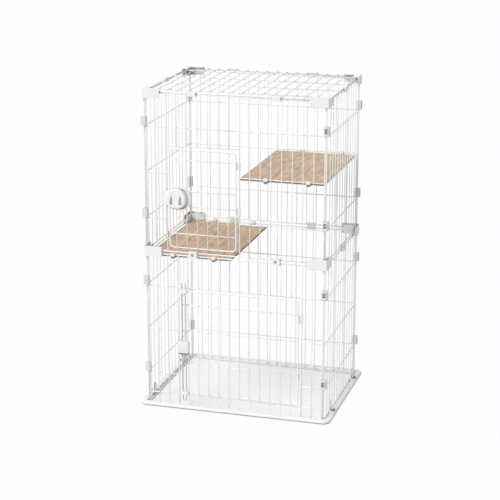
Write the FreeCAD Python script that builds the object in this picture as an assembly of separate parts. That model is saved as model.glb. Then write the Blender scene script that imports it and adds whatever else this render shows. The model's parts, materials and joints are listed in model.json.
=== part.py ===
import FreeCAD, Part
import math
import os

# Two-tier cat cage. Millimetres, +Z up, front towards -Y, origin on the ground under the middle.

# Wire grid
PITCH = 40.0  # spacing of the upright wires
FRONT_GAPS = 17  # wire gaps across the front and back panels
SIDE_GAPS = 13  # wire gaps across the side panels
PANEL_H = 598.0  # panel height between its bottom and top frame rods
TIER_GAP = 13.0  # from a lower panel's top rod to the upper panel's bottom rod
FRAME_D = 5.0  # frame rods
CROSS_D = 4.0  # cross wires
WIRE_D = 3.0  # upright wires
CROSS_EDGE = 125.0  # from a frame rod to the nearest cross wire
TOP_CROSS_EDGE = 52.0  # from the roof's front or back rod to its nearest cross wire
TOP_CROSSES = 4  # cross wires in the roof panel
WIRE_END = 1.5  # how far an upright runs past the rod that it is welded to
WELD = 0.05  # how deep two welded rods melt into each other
CORNER_GAP = 0.5  # between the two edge rods that stand side by side at a corner
FIT = 0.1  # clearance of a plastic piece round the rod that it holds
SLIDE = 0.3  # clearance of a piece that slides
CUT_PAST = 1.0  # a cutter runs this far past the face it opens

# Base tray
FLOOR_T = 3.0  # tray floor
TRAY_WALL = 4.0  # walls of the hollow rim
RIM_H = 14.0  # height of the rim above the ground
RIM_W = 22.0  # width of the rim
RIM_CLEAR = 3.1  # from the outermost wires to the rim's inner wall
RIM_CORNER_R = 30.0  # outer corners seen from above
RIM_ROUND = 5.0  # rounding of the rim's outer top edge
RIM_INNER_ROUND = 2.0  # rounding of the rim's inner top edge
FOOT_H = 4.0  # set-back foot round the bottom of the rim
FOOT_IN = 2.5

# Doors
DOOR_STEP = 6.5  # door plane in front of the panel plane
DOOR_GAP = 12.0  # door frame rod to opening rod, at the sides
DOOR_CORNER_R = 16.0  # bend of the door frame's corners
DOOR_OPENS = 120.0  # swing of a door in degrees, printed with the hinge places
UPPER_DOOR_WIRES = (2, 9)  # upright places of the upper opening's two rods
UPPER_HEAD = 405.0  # upper opening's head wire above the panel's bottom rod
UPPER_DOOR_Z = (20.0, 393.0)  # upper door's bottom and top rods above the panel's bottom rod
UPPER_DOOR_CROSS = (74.0, 179.0, 237.0, 354.0)  # upper door's cross wires, same reference
UPPER_KNUCKLES = (174.0, 345.0)  # middles of the upper door's hinge sleeves, same reference
LOWER_DOOR_WIRES = (3, 15)  # upright places of the lower opening's two rods
LOWER_SILL = 44.0  # lower opening's sill wire above the panel's bottom rod
LOWER_DOOR_Z = (55.0, 463.0)  # lower door's bottom and top rods above the panel's bottom rod
LOWER_DOOR_CROSS = (172.0, 304.0, 408.0)  # lower door's cross wires, same reference
LOWER_KNUCKLES = (162.0, 390.0)  # middles of the lower door's hinge sleeves, same reference
KNUCKLE_L = 28.0  # length of a hinge sleeve
KNUCKLE_WALL = 1.6  # sheet thickness of a hinge sleeve
KNUCKLE_FIT = 0.08  # running clearance of a sleeve on its rod
STRAP_T = 2.0  # strap from a sleeve to the door frame
COLLAR_H = 4.0  # collar on the rod that a sleeve stands on

# Slide latch of the upper door, measured from the opening's latch rod
LATCH_W = 98.0  # width of the oval housing
LATCH_H = 87.0  # height of the oval housing
LATCH_FLAT = 2.7  # half the straight stretch between the knob's roundings
LATCH_Z = 210.0  # middle of the latch above the panel's bottom rod
LATCH_BASE_T = 2.5  # floor of the housing
LATCH_RIM_T = 2.2  # wall outside the knob's flange
LATCH_LIP_T = 3.0  # lip of that wall over the flange
LATCH_STOP = 34.0  # shoulder that the flange rests against
LATCH_TRAVEL = 12.0  # slide of the knob
KNOB_T = 14.0  # knob from its back to its face
KNOB_EDGE_R = 7.0  # rounding of its face
KNOB_SIDE = 0.5  # from the opening rod's middle to the knob
KNOB_CLEAR = 0.5  # between the knob and the lip
FLANGE_T = 2.5
FLANGE_PAST = 2.5  # flange past the knob
TEAR_U = (25.0, 60.0)  # middles of the two finger recesses
TEAR_W = 13.0  # a drop shape
TEAR_H = 40.0
TEAR_DEEP = 9.0
TEAR_DROP = 3.0  # their middle below the knob's middle
TONGUE_T = 4.0  # tongue on the knob's side
TONGUE_H = 50.0
TONGUE_R = 10.0
TONGUE_PAST = 11.5  # how far the tongue laps past the opening rod
RIB_W = 10.0  # ribs that seat the housing on the door's cross wires
RIB_U = (26.0, 60.0)
RIB_PAST = 8.0  # ribs run this far past the two cross wires
CLIP_BACK = 2.0  # a clip foot's lips behind its rod
FOOT_MOUTH = 0.8  # mouth of a clip foot as a share of its rod
KEEPER_U = (-22.0, -0.5)  # keeper beside the opening rod
KEEPER_H = 46.0
KEEPER_R = 10.0
KEEPER_FOOT = 11.0  # width of its clip foot on the rod

# Sliding bolt of the lower door, measured from the opening's latch rod
BOLT_D = 4.0  # wire of the hairpin
BOLT_U = (17.0, 31.0)  # the hairpin's two legs
BOLT_Z = (23.0, 493.0)  # bend and tips above the panel's bottom rod
BOLT_LIFT = 16.0  # slide of the bolt
GUIDE_MARGIN = 5.0  # guide block past a leg's middle
GUIDE_H = 12.0
GUIDE_WALL = 1.8
HANDLE_W = 44.0  # box handle
HANDLE_H = 52.0
HANDLE_T = 16.5
HANDLE_R = 5.0
HANDLE_EASE = 2.0
HANDLE_NOTCH_H = 10.0  # finger notch under its face
HANDLE_NOTCH_T = 12.0
HANDLE_Z = 238.0  # middle of the handle above the panel's bottom rod
GRIP_MARGIN = 5.0  # clamp behind the handle past a leg's middle

# Shelves
SHELF_W = 320.0
SHELF_T = 6.0
SHELF_GAP = 6.0  # from a board's edge to the frame rods round it
SHELF_DROP = 4.0  # board's top below the wire that carries its hooks
SHELF_CORNER_R = 6.0
LOWER_HOOK_GAPS = (2, 6)  # wire gaps that hold the lower shelf's hooks
UPPER_HOOK_GAPS = (11, 15)  # wire gaps that hold the upper shelf's hooks
HOOK_T = 3.0
HOOK_TAB_R = 9.0  # round tab in front
HOOK_TAB_H = 20.0
HOOD_H = 9.0  # hood over the tab
HOOD_T = 10.0
HOOK_BAR_W = 16.0  # bent strip behind it
LEDGE_L = 22.0  # ledge under the board, from the wire

# Corner blocks and clips
BLOCK_ARM = 62.0  # arms of the corner blocks
BLOCK_T = 3.5  # outer wall
BLOCK_ROUND = 5.0  # outer upright edge
BLOCK_LIP = 3.0  # inner wall
TIER_BLOCK_DOWN = 18.0  # tier block below and above the middle of the joint
TIER_BLOCK_UP = 22.0
TIER_LIP_H = 17.0  # half height of its inner wall
TIER_HOLE_D = 6.0  # two holes through that wall in each arm
TIER_HOLE_V = 10.0  # above and below the middle of the joint
TIER_HOLE_END = 9.0  # from the arm's end
TOP_BLOCK_DOWN = 21.0  # top block below the panels' top rods
TOP_CAP_T = 2.5  # top block's cap over the roof
TOP_CAP_IN = 14.0  # cap reaches this far inwards
TOP_SOCKET_T = 4.0  # floor that the two edge rods pass through
TOP_SOCKET_ARM = 24.0
CLIP_H = 34.0  # edge clips
CLIP_WALL = 2.5
CLIP_MOUTH = 4.5
CLIP_OUT = 6.0  # thick outer sides of a clip
CLIP_R = 4.0
CLIP_WINDOW_W = 12.0  # finger pocket in one outer side
CLIP_WINDOW_H = 18.0
CLIP_ABOVE = 0.3  # clip's foot above the cross wire
JOINT_W = 32.0  # joint clips between the tiers and under the roof
JOINT_WALL = 3.5
JOINT_FACE = 8.0  # thick front of a joint clip
DIMPLE_D = 12.0  # round finger dimple in the front of a tier joint clip
DIMPLE_DEEP = 5.0
TIER_JOINT_ARM = 3.0  # arms reach this far behind the rods' middles
JOINT_FRONT_GAPS = (4, 12)
JOINT_SIDE_GAP = 6
TRAY_HOOK_W = 22.0
TRAY_HOOK_T = 2.8
TRAY_HOOK_R = 6.0
TRAY_HOOK_TOP = 55.0  # above the ground
TRAY_HOOK_FOOT = 9.0  # width of its clip foot on an upright
TRAY_HOOK_WIRES = (2, 11)  # uprights of the side panels that carry the hooks
PEG_D = 6.0  # push peg through the strap into the rim
PEG_OUT = 12.0  # peg's middle from the rim's inner wall
PEG_PAST = 1.5  # peg under the rim's top wall
PEG_HEAD_D = 11.0
PEG_HEAD_H = 7.0
PEG_HEAD_R = 3.0  # rounding of the head

# Values that follow from the sizes above
FRAME_R = FRAME_D / 2
CROSS_R = CROSS_D / 2
WIRE_R = WIRE_D / 2
BOLT_R = BOLT_D / 2
CROSS_OUT = FRAME_R - CROSS_R  # cross wires lie flush with the frame's outer side
WIRE_OUT = FRAME_R + WIRE_R - WELD  # uprights lie outside the frame
OUTER_FACE = WIRE_OUT + WIRE_R
FRONT_HALF = FRONT_GAPS * PITCH / 2
PLANE_X = FRONT_HALF + FRAME_D + CORNER_GAP  # side panels' frame plane
PLANE_Y = SIDE_GAPS * PITCH / 2  # front and back panels' frame plane
LOW_BASE = FLOOR_T + FRAME_R  # lower panels' bottom rods lie on the tray floor
LOW_TOP = LOW_BASE + PANEL_H
UP_BASE = LOW_TOP + TIER_GAP
UP_TOP = UP_BASE + PANEL_H
ROOF_Z = UP_TOP + FRAME_D  # roof frame lies on the panels' top rods
CROSS_LOW = CROSS_EDGE
CROSS_MID = PANEL_H / 2
CROSS_HIGH = PANEL_H - CROSS_EDGE
DOOR_FACE = DOOR_STEP + OUTER_FACE  # front of a door's upright wires


def wire_x(place):
    return (place - FRONT_GAPS / 2) * PITCH


def wire_y(place):
    return (place - SIDE_GAPS / 2) * PITCH


def gap_x(gap):
    """The middle of a gap between two uprights of the front or back panel."""
    return (wire_x(gap) + wire_x(gap + 1)) / 2


def gap_y(gap):
    """The middle of a gap between two uprights of a side panel."""
    return (wire_y(gap) + wire_y(gap + 1)) / 2


# Each panel plane turns (along, up, outwards) into a point of the cage
def front(u, v, w):
    return FreeCAD.Vector(u, -PLANE_Y - w, v)


def back(u, v, w):
    return FreeCAD.Vector(u, PLANE_Y + w, v)


def left(u, v, w):
    return FreeCAD.Vector(-PLANE_X - w, u, v)


def right(u, v, w):
    return FreeCAD.Vector(PLANE_X + w, u, v)


def roof(u, v, w):
    return FreeCAD.Vector(u, v, ROOF_Z + w)


def ground(u, v, w):
    return FreeCAD.Vector(u, v, w)


# Building blocks
def rod(start, end, diameter):
    run = end.sub(start)
    return Part.makeCylinder(diameter / 2, run.Length, start, run)


def slab(plane, u, v, radius, w):
    """A plate with rounded corners: u, v and w are its ranges."""
    face = Part.Face(rounded_wire(plane, u, v, radius, w[0]))
    return face.extrude(plane(0, 0, w[1]).sub(plane(0, 0, w[0])))


def rounded_wire(plane, u, v, radius, w):
    """The outline of such a plate, or the path of a bent frame."""
    edges = []
    corners = ((u[1], v[0]), (u[1], v[1]), (u[0], v[1]), (u[0], v[0]))
    turns = ((-1, 1), (-1, -1), (1, -1), (1, 1))
    far = 1 - math.sqrt(0.5)
    previous = plane(u[0] + radius, v[0], w)
    for number in range(4):
        cu, cv = corners[number]
        su, sv = turns[number]
        along_u = plane(cu + su * radius, cv, w)
        along_v = plane(cu, cv + sv * radius, w)
        first, last = (along_u, along_v) if number % 2 == 0 else (along_v, along_u)
        middle = plane(cu + su * radius * far, cv + sv * radius * far, w)
        edges.append(Part.LineSegment(previous, first).toShape())
        edges.append(Part.Arc(first, middle, last).toShape())
        previous = last
    return Part.Wire(edges)


def bar(plane, u, outline):
    """A strip of one section: outline holds (outwards, up) points, u is its range."""
    points = [plane(u[0], v, w) for w, v in outline]
    face = Part.Face(Part.makePolygon(points + points[:1]))
    return face.extrude(plane(u[1], 0, 0).sub(plane(u[0], 0, 0)))


def box(plane, u, v, w):
    return bar(plane, u, [(w[0], v[0]), (w[1], v[0]), (w[1], v[1]), (w[0], v[1])])


def around(middle, half):
    return (middle - half, middle + half)


def clip_upright(plane, solid, u, w, diameter, v):
    """Cuts a channel for an upright rod into a clip foot, open at the back."""
    low, high = v[0] - CUT_PAST, v[1] + CUT_PAST
    channel = rod(plane(u, low, w), plane(u, high, w), diameter + 2 * FIT)
    mouth = box(plane, around(u, FOOT_MOUTH * diameter / 2), (low, high), (w - diameter - CLIP_BACK, w))
    return solid.cut(channel).cut(mouth)


def clip_cross(solid, u, w, diameter, v):
    """The same for a cross wire at the height v."""
    left_end, right_end = u[0] - CUT_PAST, u[1] + CUT_PAST
    channel = rod(front(left_end, v, w), front(right_end, v, w), diameter + 2 * FIT)
    mouth_v = around(v, FOOT_MOUTH * diameter / 2)
    mouth = box(front, (left_end, right_end), mouth_v, (w - diameter - CLIP_BACK, w))
    return solid.cut(channel).cut(mouth)


def save(node, solids):
    shape = Part.makeCompound(solids) if len(solids) > 1 else solids[0]
    shape.exportStep("parts/" + node + ".step")


# Wire panels
def frame_rods(plane, half, base, top):
    inner = half - FRAME_R + WELD
    rods = []
    for u in (-half, half):
        rods.append(rod(plane(u, base - FRAME_R, 0), plane(u, top + FRAME_R, 0), FRAME_D))
    for v in (base, top):
        rods.append(rod(plane(-inner, v, 0), plane(inner, v, 0), FRAME_D))
    return rods


def cross_wire(plane, ends, v, w):
    inset = FRAME_R - WELD
    start = plane(ends[0] + inset, v, w + CROSS_OUT)
    return rod(start, plane(ends[1] - inset, v, w + CROSS_OUT), CROSS_D)


def upright(plane, u, low, high, w):
    start = plane(u, low - WIRE_END, w + WIRE_OUT)
    return rod(start, plane(u, high + WIRE_END, w + WIRE_OUT), WIRE_D)


def plain_panel(plane, half, base, top, wires, crosses):
    solids = frame_rods(plane, half, base, top)
    solids += [cross_wire(plane, (-half, half), v, 0) for v in crosses]
    solids += [upright(plane, u, base, top, 0) for u in wires]
    return solids


def door_panel(base, stops, sill, head, side_crosses, full_crosses, head_crosses):
    """A front panel with an opening between two rods at the places in stops."""
    top = base + PANEL_H
    rods = [wire_x(place) for place in stops]
    solids = frame_rods(front, FRONT_HALF, base, top)
    inset = FRAME_R - WELD
    for u in rods:
        solids.append(rod(front(u, base + inset, 0), front(u, top - inset, 0), FRAME_D))
    sides = [(-FRONT_HALF, rods[0]), (rods[1], FRONT_HALF)]
    middle = [(rods[0], rods[1])]
    for heights, spans in (
        (side_crosses, sides),
        (full_crosses, sides + middle),
        (head_crosses, middle),
    ):
        for height in heights:
            solids += [cross_wire(front, ends, base + height, 0) for ends in spans]
    for place in range(1, FRONT_GAPS):
        if place in stops:
            continue
        u = wire_x(place)
        if stops[0] < place < stops[1]:
            solids.append(upright(front, u, base + head, top, 0))
            if sill > 0:
                solids.append(upright(front, u, base, base + sill, 0))
        else:
            solids.append(upright(front, u, base, top, 0))
    return solids


front_wires = [wire_x(place) for place in range(1, FRONT_GAPS)]
side_wires = [wire_y(place) for place in range(1, SIDE_GAPS)]
tiers = {"lower": LOW_BASE, "upper": UP_BASE}


# Doors
def bent_frame(u, v):
    path = rounded_wire(front, u, v, DOOR_CORNER_R, DOOR_STEP)
    start = path.Edges[0]
    middle = start.valueAt((start.FirstParameter + start.LastParameter) / 2)
    ring = Part.Wire(Part.makeCircle(FRAME_R, middle, FreeCAD.Vector(1, 0, 0)))
    edges = path.Edges
    first_half = Part.makeLine(middle, edges[0].Vertexes[1].Point)
    second_half = Part.makeLine(edges[0].Vertexes[0].Point, middle)
    pipe = Part.BRepOffsetAPI.MakePipeShell(Part.Wire([first_half] + edges[1:] + [second_half]))
    pipe.add(ring)
    pipe.build()
    pipe.makeSolid()
    return pipe.shape()


def door_sides(stops):
    return (wire_x(stops[0]) + DOOR_GAP, wire_x(stops[1]) - DOOR_GAP)


def door_wires(stops, base, heights, crosses):
    u = door_sides(stops)
    low, high = base + heights[0], base + heights[1]
    solids = [cross_wire(front, u, base + v, DOOR_STEP) for v in crosses]
    for place in range(stops[0] + 1, stops[1]):
        solids.append(upright(front, wire_x(place), low, high, DOOR_STEP))
    return solids


def hinge_sleeve(hinge_u, middle):
    """A rolled sleeve on the opening's rod, with a strap welded to the door frame."""
    low = middle - KNUCKLE_L / 2
    bore = FRAME_R + KNUCKLE_FIT
    axis = FreeCAD.Vector(0, 0, 1)
    foot = front(hinge_u, low, 0)
    reach = math.hypot(DOOR_GAP, DOOR_STEP) - FRAME_R + WELD
    strap = Part.makeBox(reach, STRAP_T, KNUCKLE_L, FreeCAD.Vector(0, -STRAP_T / 2, 0))
    turn = math.degrees(math.atan2(-DOOR_STEP, -DOOR_GAP))
    strap.rotate(FreeCAD.Vector(0, 0, 0), axis, turn)
    strap.translate(foot)
    sleeve = Part.makeCylinder(bore + KNUCKLE_WALL, KNUCKLE_L, foot, axis)
    hole = Part.makeCylinder(bore, KNUCKLE_L, foot, axis)
    return sleeve.fuse(strap).cut(hole).removeSplitter()


def hinge_collar(hinge_u, middle):
    top = middle - KNUCKLE_L / 2 - SLIDE
    foot, head = front(hinge_u, top - COLLAR_H, 0), front(hinge_u, top, 0)
    ring = rod(foot, head, FRAME_D + 2 * (KNUCKLE_FIT + KNUCKLE_WALL))
    return ring.cut(rod(foot, head, FRAME_D + 2 * FIT))


# Slide latch
latch_rod = wire_x(UPPER_DOOR_WIRES[0])
latch_v = UP_BASE + LATCH_Z
latch_back = DOOR_FACE + SLIDE
latch_floor = latch_back + LATCH_BASE_T
slider_back = latch_floor + SLIDE
knob_face = slider_back + KNOB_T
lip_low = slider_back + FLANGE_T + SLIDE
cavity_end = LATCH_W - LATCH_RIM_T
cavity_half = LATCH_H / 2 - LATCH_RIM_T
flange_end = cavity_end - SLIDE - LATCH_TRAVEL
flange_half = cavity_half - SLIDE
knob_end = flange_end - FLANGE_PAST
knob_half = flange_half - FLANGE_PAST
knob_r = min(knob_half, (knob_end - KNOB_SIDE) / 2) - LATCH_FLAT
cavity_r = knob_r + FLANGE_PAST - KNOB_CLEAR
latch_r = cavity_r + LATCH_RIM_T


def latch_u(start, end):
    return (latch_rod + start, latch_rod + end)


def latch_slab(u, half, radius, w):
    return slab(front, latch_u(*u), around(latch_v, half), radius, w)


def drop_recess(u):
    """A drop-shaped finger recess, round below and pointed above."""
    radius = TEAR_W / 2
    middle = latch_v - TEAR_DROP
    low = middle - TEAR_H / 2 + radius
    tip = middle + TEAR_H / 2
    lean = math.asin(radius / (tip - low))
    du, dv = radius * math.cos(lean), radius * math.sin(lean)
    floor_w = knob_face - TEAR_DEEP
    right_side = front(u + du, low + dv, floor_w)
    left_side = front(u - du, low + dv, floor_w)
    point = front(u, tip, floor_w)
    bottom = front(u, low - radius, floor_w)
    outline = Part.Wire([
        Part.Arc(right_side, bottom, left_side).toShape(),
        Part.LineSegment(left_side, point).toShape(),
        Part.LineSegment(point, right_side).toShape(),
    ])
    depth = front(0, 0, knob_face + CUT_PAST).sub(front(0, 0, floor_w))
    return Part.Face(outline).extrude(depth)


def latch_body():
    """Oval housing: the knob's flange slides under its lip; the side towards the keeper is open."""
    lip_top = lip_low + LATCH_LIP_T
    solid = latch_slab((0, LATCH_W), LATCH_H / 2, latch_r, (latch_back, lip_top))
    above = (latch_floor, lip_top + CUT_PAST)
    opening_half = knob_half + KNOB_CLEAR
    opening_end = knob_end + LATCH_TRAVEL + KNOB_CLEAR
    opening = latch_slab((0, opening_end), opening_half, knob_r + KNOB_CLEAR, above)
    open_side = box(front, latch_u(-CUT_PAST, LATCH_STOP), around(latch_v, opening_half), above)
    cavity = latch_slab((0, cavity_end), cavity_half, cavity_r, (latch_floor, lip_low))
    behind_stop = box(
        front, latch_u(LATCH_STOP, LATCH_W), around(latch_v, LATCH_H), (latch_floor, lip_low)
    )
    solid = solid.cut(opening).cut(open_side).cut(cavity.common(behind_stop))
    wire_w = DOOR_STEP + CROSS_OUT
    seats = [UP_BASE + height for height in UPPER_DOOR_CROSS[1:3]]
    for middle in RIB_U:
        rib_u = around(latch_rod + middle, RIB_W / 2)
        rib_v = (seats[0] - RIB_PAST, seats[1] + RIB_PAST)
        rib = box(front, rib_u, rib_v, (wire_w - CROSS_R - CLIP_BACK, latch_back))
        for seat in seats:
            rib = clip_cross(rib, rib_u, wire_w, CROSS_D, seat)
        solid = solid.fuse(rib)
    return solid.removeSplitter()


def latch_slider():
    """Round-edged knob with two finger recesses, its flange and the tongue over the keeper."""
    knob = latch_slab((KNOB_SIDE, knob_end), knob_half, knob_r, (slider_back, knob_face))
    face_edges = [e for e in knob.Edges if abs(-PLANE_Y - knob_face - e.CenterOfMass.y) < FIT]
    solid = knob.makeFillet(KNOB_EDGE_R, face_edges)
    flange_w = (slider_back, slider_back + FLANGE_T)
    flange = latch_slab((0, flange_end), flange_half, knob_r + FLANGE_PAST, flange_w)
    past_stop = latch_u(LATCH_STOP + SLIDE, LATCH_W)
    solid = solid.fuse(flange.common(box(front, past_stop, around(latch_v, LATCH_H), flange_w)))
    tongue_w = (slider_back, slider_back + TONGUE_T)
    solid = solid.fuse(latch_slab((-TONGUE_PAST, LATCH_STOP), TONGUE_H / 2, TONGUE_R, tongue_w))
    for middle in TEAR_U:
        solid = solid.cut(drop_recess(latch_rod + middle))
    return solid.removeSplitter()


def latch_keeper():
    """Block that the tongue laps over, clipped on the opening rod."""
    low = OUTER_FACE + FIT
    block = latch_slab(KEEPER_U, KEEPER_H / 2, KEEPER_R, (low, latch_floor))
    v = around(latch_v, KEEPER_H / 2 - KEEPER_R)
    foot = box(front, around(latch_rod, KEEPER_FOOT / 2), v, (-FRAME_R - CLIP_BACK, low))
    return block.fuse(clip_upright(front, foot, latch_rod, 0, FRAME_D, v)).removeSplitter()


# Sliding bolt
bolt_rod_u = wire_x(LOWER_DOOR_WIRES[0])
bolt_legs = [bolt_rod_u + u for u in BOLT_U]
bolt_w = DOOR_STEP + FRAME_R + BOLT_R + SLIDE
bolt_bend = (bolt_legs[1] - bolt_legs[0]) / 2


def bolt_hairpin():
    low, high = LOW_BASE + BOLT_Z[0] + BOLT_R + bolt_bend, LOW_BASE + BOLT_Z[1]
    middle = (bolt_legs[0] + bolt_legs[1]) / 2
    tips = [front(u, high, bolt_w) for u in bolt_legs]
    heels = [front(u, low, bolt_w) for u in bolt_legs]
    path = Part.Wire([
        Part.LineSegment(tips[0], heels[0]).toShape(),
        Part.Arc(heels[0], front(middle, low - bolt_bend, bolt_w), heels[1]).toShape(),
        Part.LineSegment(heels[1], tips[1]).toShape(),
    ])
    pipe = Part.BRepOffsetAPI.MakePipeShell(path)
    pipe.add(Part.Wire(Part.makeCircle(BOLT_R, tips[0], FreeCAD.Vector(0, 0, 1))))
    pipe.build()
    pipe.makeSolid()
    return pipe.shape()


def leg_holes(v, clearance):
    return [rod(front(u, v[0], bolt_w), front(u, v[1], bolt_w), BOLT_D + 2 * clearance) for u in bolt_legs]


def bolt_guide(height):
    """Eye block on a door rod that the two legs run through."""
    v = around(LOW_BASE + height, GUIDE_H / 2)
    u = (bolt_legs[0] - GUIDE_MARGIN, bolt_legs[1] + GUIDE_MARGIN)
    seat = DOOR_STEP + FRAME_R - WELD
    solid = box(front, u, v, (seat, bolt_w + BOLT_R + SLIDE + GUIDE_WALL))
    for hole in leg_holes(v, SLIDE):
        solid = solid.cut(hole)
    return solid


def bolt_handle():
    v = around(LOW_BASE + HANDLE_Z, HANDLE_H / 2)
    middle = (bolt_legs[0] + bolt_legs[1]) / 2
    front_w = bolt_w + BOLT_R + SLIDE
    face_w = front_w + HANDLE_T
    solid = slab(front, around(middle, HANDLE_W / 2), v, HANDLE_R, (front_w, face_w))
    face_edges = [e for e in solid.Edges if abs(-PLANE_Y - face_w - e.CenterOfMass.y) < FIT]
    solid = solid.makeFillet(HANDLE_EASE, face_edges)
    notch_v = (v[0] - CUT_PAST, v[0] + HANDLE_NOTCH_H)
    notch_w = (face_w - HANDLE_NOTCH_T, face_w + CUT_PAST)
    solid = solid.cut(box(front, around(middle, HANDLE_W), notch_v, notch_w))
    grip_u = (bolt_legs[0] - GRIP_MARGIN, bolt_legs[1] + GRIP_MARGIN)
    grip_v = (v[0] + HANDLE_R, v[1] - HANDLE_R)
    solid = solid.fuse(box(front, grip_u, grip_v, (bolt_w - BOLT_R, front_w)))
    for hole in leg_holes(v, FIT):
        solid = solid.cut(hole)
    return solid.removeSplitter()


# Base tray
basin_x = PLANE_X + OUTER_FACE + RIM_CLEAR
basin_y = PLANE_Y + OUTER_FACE + RIM_CLEAR
tray_x = basin_x + RIM_W
tray_y = basin_y + RIM_W
strap_top = RIM_H + FIT + TRAY_HOOK_T


def tray_block(out, w):
    """A rounded block whose edge lies this far outside the basin's wall."""
    radius = RIM_CORNER_R - RIM_W + out
    return slab(ground, around(0, basin_x + out), around(0, basin_y + out), radius, w)


def peg_rod(plane, u, diameter):
    """The shank of a push peg, or the hole for it in the rim and the strap."""
    w = basin_x - PLANE_X + PEG_OUT
    return rod(plane(u, RIM_H - TRAY_WALL - PEG_PAST, w), plane(u, strap_top, w), diameter)


def push_peg(plane, u):
    w = basin_x - PLANE_X + PEG_OUT
    foot = plane(u, strap_top, w)
    head = Part.makeCylinder(PEG_HEAD_D / 2, PEG_HEAD_H, foot, FreeCAD.Vector(0, 0, 1))
    top_edges = [e for e in head.Edges if abs(e.CenterOfMass.z - strap_top - PEG_HEAD_H) < FIT]
    return head.makeFillet(PEG_HEAD_R, top_edges).fuse(peg_rod(plane, u, PEG_D)).removeSplitter()


def base_tray():
    solid = tray_block(RIM_W, (0, RIM_H))
    rim_edges = [e for e in solid.Edges if abs(e.CenterOfMass.z - RIM_H) < FIT]
    solid = solid.makeFillet(RIM_ROUND, rim_edges).cut(tray_block(0, (FLOOR_T, RIM_H + CUT_PAST)))
    inner_edges = []
    for edge in solid.Edges:
        middle = edge.CenterOfMass
        on_top = abs(middle.z - RIM_H) < FIT
        if on_top and abs(middle.x) < basin_x + FIT and abs(middle.y) < basin_y + FIT:
            inner_edges.append(edge)
    solid = solid.makeFillet(RIM_INNER_ROUND, inner_edges)
    hollow = (-CUT_PAST, RIM_H - TRAY_WALL)
    channel = tray_block(RIM_W - TRAY_WALL, hollow).cut(tray_block(TRAY_WALL, hollow))
    below = (-CUT_PAST, FOOT_H)
    step = tray_block(RIM_W + CUT_PAST, below).cut(tray_block(RIM_W - FOOT_IN, below))
    solid = solid.cut(channel).cut(step)
    for plane in (left, right):
        for place in TRAY_HOOK_WIRES:
            solid = solid.cut(peg_rod(plane, wire_y(place), PEG_D + 2 * FIT))
    return solid


# Shelves
board_y = PLANE_Y - FRAME_R - SHELF_GAP
board_x = PLANE_X - FRAME_R - SHELF_GAP
lower_board_top = LOW_TOP - SHELF_DROP
upper_board_top = UP_BASE + CROSS_MID - SHELF_DROP


def shelf_board(u, top):
    return slab(ground, u, around(0, board_y), SHELF_CORNER_R, (top - SHELF_T, top))


def shelf_hook(plane, u, wire_v, wire_w, wire_r):
    """A bent strip over the wire, a ledge under the board, a round tab in front and a hood over it."""
    snug = wire_r + FIT
    top = wire_v + snug + HOOK_T
    under = wire_v - SHELF_DROP - SHELF_T
    outer, inner = wire_w + snug, wire_w - snug
    strip = bar(plane, around(u, HOOK_BAR_W / 2), [
        (outer + HOOK_T, top),
        (inner - HOOK_T, top),
        (inner - HOOK_T, under),
        (-LEDGE_L, under),
        (-LEDGE_L, under - HOOK_T),
        (inner, under - HOOK_T),
        (inner, wire_v + snug),
        (outer, wire_v + snug),
        (outer, wire_v - snug),
        (outer + HOOK_T, wire_v - snug),
    ])
    tab_u = around(u, HOOK_TAB_R + FIT)
    tab = slab(plane, tab_u, (top - HOOK_TAB_H, top), HOOK_TAB_R, (outer, outer + HOOK_T))
    hood = box(plane, around(u, HOOK_BAR_W / 2), (top - HOOD_H, top), (outer, outer + HOOD_T))
    return strip.fuse(tab).fuse(hood).removeSplitter()


def shelf_hooks(gaps, wire_v, wire_w, wire_r):
    return [shelf_hook(p, gap_x(g), wire_v, wire_w, wire_r) for p in (front, back) for g in gaps]


# Corner blocks: an L seen from above, made of bands that follow the two panel planes
def corner_band(side, end, w, z, arm=BLOCK_ARM, round_off=0.0):
    def at(x_off, y_off):
        return FreeCAD.Vector(side * (PLANE_X + x_off), end * (PLANE_Y + y_off), z[0])

    inner, outer = w
    far = round_off * (1 - math.sqrt(0.5))
    points = [at(-arm, inner), at(-arm, outer), at(outer - round_off, outer)]
    edges = [Part.makeLine(points[0], points[1]), Part.makeLine(points[1], points[2])]
    start = points[2]
    if round_off > 0:
        turn_end = at(outer, outer - round_off)
        edges.append(Part.Arc(start, at(outer - far, outer - far), turn_end).toShape())
        start = turn_end
    for point in (at(outer, -arm), at(inner, -arm), at(inner, inner), points[0]):
        edges.append(Part.makeLine(start, point))
        start = point
    return Part.Face(Part.Wire(edges)).extrude(FreeCAD.Vector(0, 0, z[1] - z[0]))


wall_w = (OUTER_FACE + SLIDE, OUTER_FACE + SLIDE + BLOCK_T)
lip_w = (-FRAME_R - CORNER_GAP - BLOCK_LIP, -FRAME_R - CORNER_GAP)


def tier_block(side, end):
    """Outer wall, a web between the two tiers' rods and an inner lip."""
    middle = (LOW_TOP + UP_BASE) / 2
    web_half = TIER_GAP / 2 - FRAME_R - SLIDE
    solid = corner_band(
        side, end, wall_w, (middle - TIER_BLOCK_DOWN, middle + TIER_BLOCK_UP), round_off=BLOCK_ROUND
    )
    solid = solid.fuse(corner_band(side, end, (lip_w[1], wall_w[0]), around(middle, web_half)))
    solid = solid.fuse(corner_band(side, end, lip_w, around(middle, TIER_LIP_H)))
    inset = BLOCK_ARM - TIER_HOLE_END
    lip_mouth = (lip_w[0] - CUT_PAST, lip_w[1] + CUT_PAST)
    for z in around(middle, TIER_HOLE_V):
        across = [FreeCAD.Vector(side * (PLANE_X - inset), end * (PLANE_Y + w), z) for w in lip_mouth]
        along = [FreeCAD.Vector(side * (PLANE_X + w), end * (PLANE_Y - inset), z) for w in lip_mouth]
        for start, stop in (across, along):
            solid = solid.cut(rod(start, stop, TIER_HOLE_D))
    return solid.removeSplitter()


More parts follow.
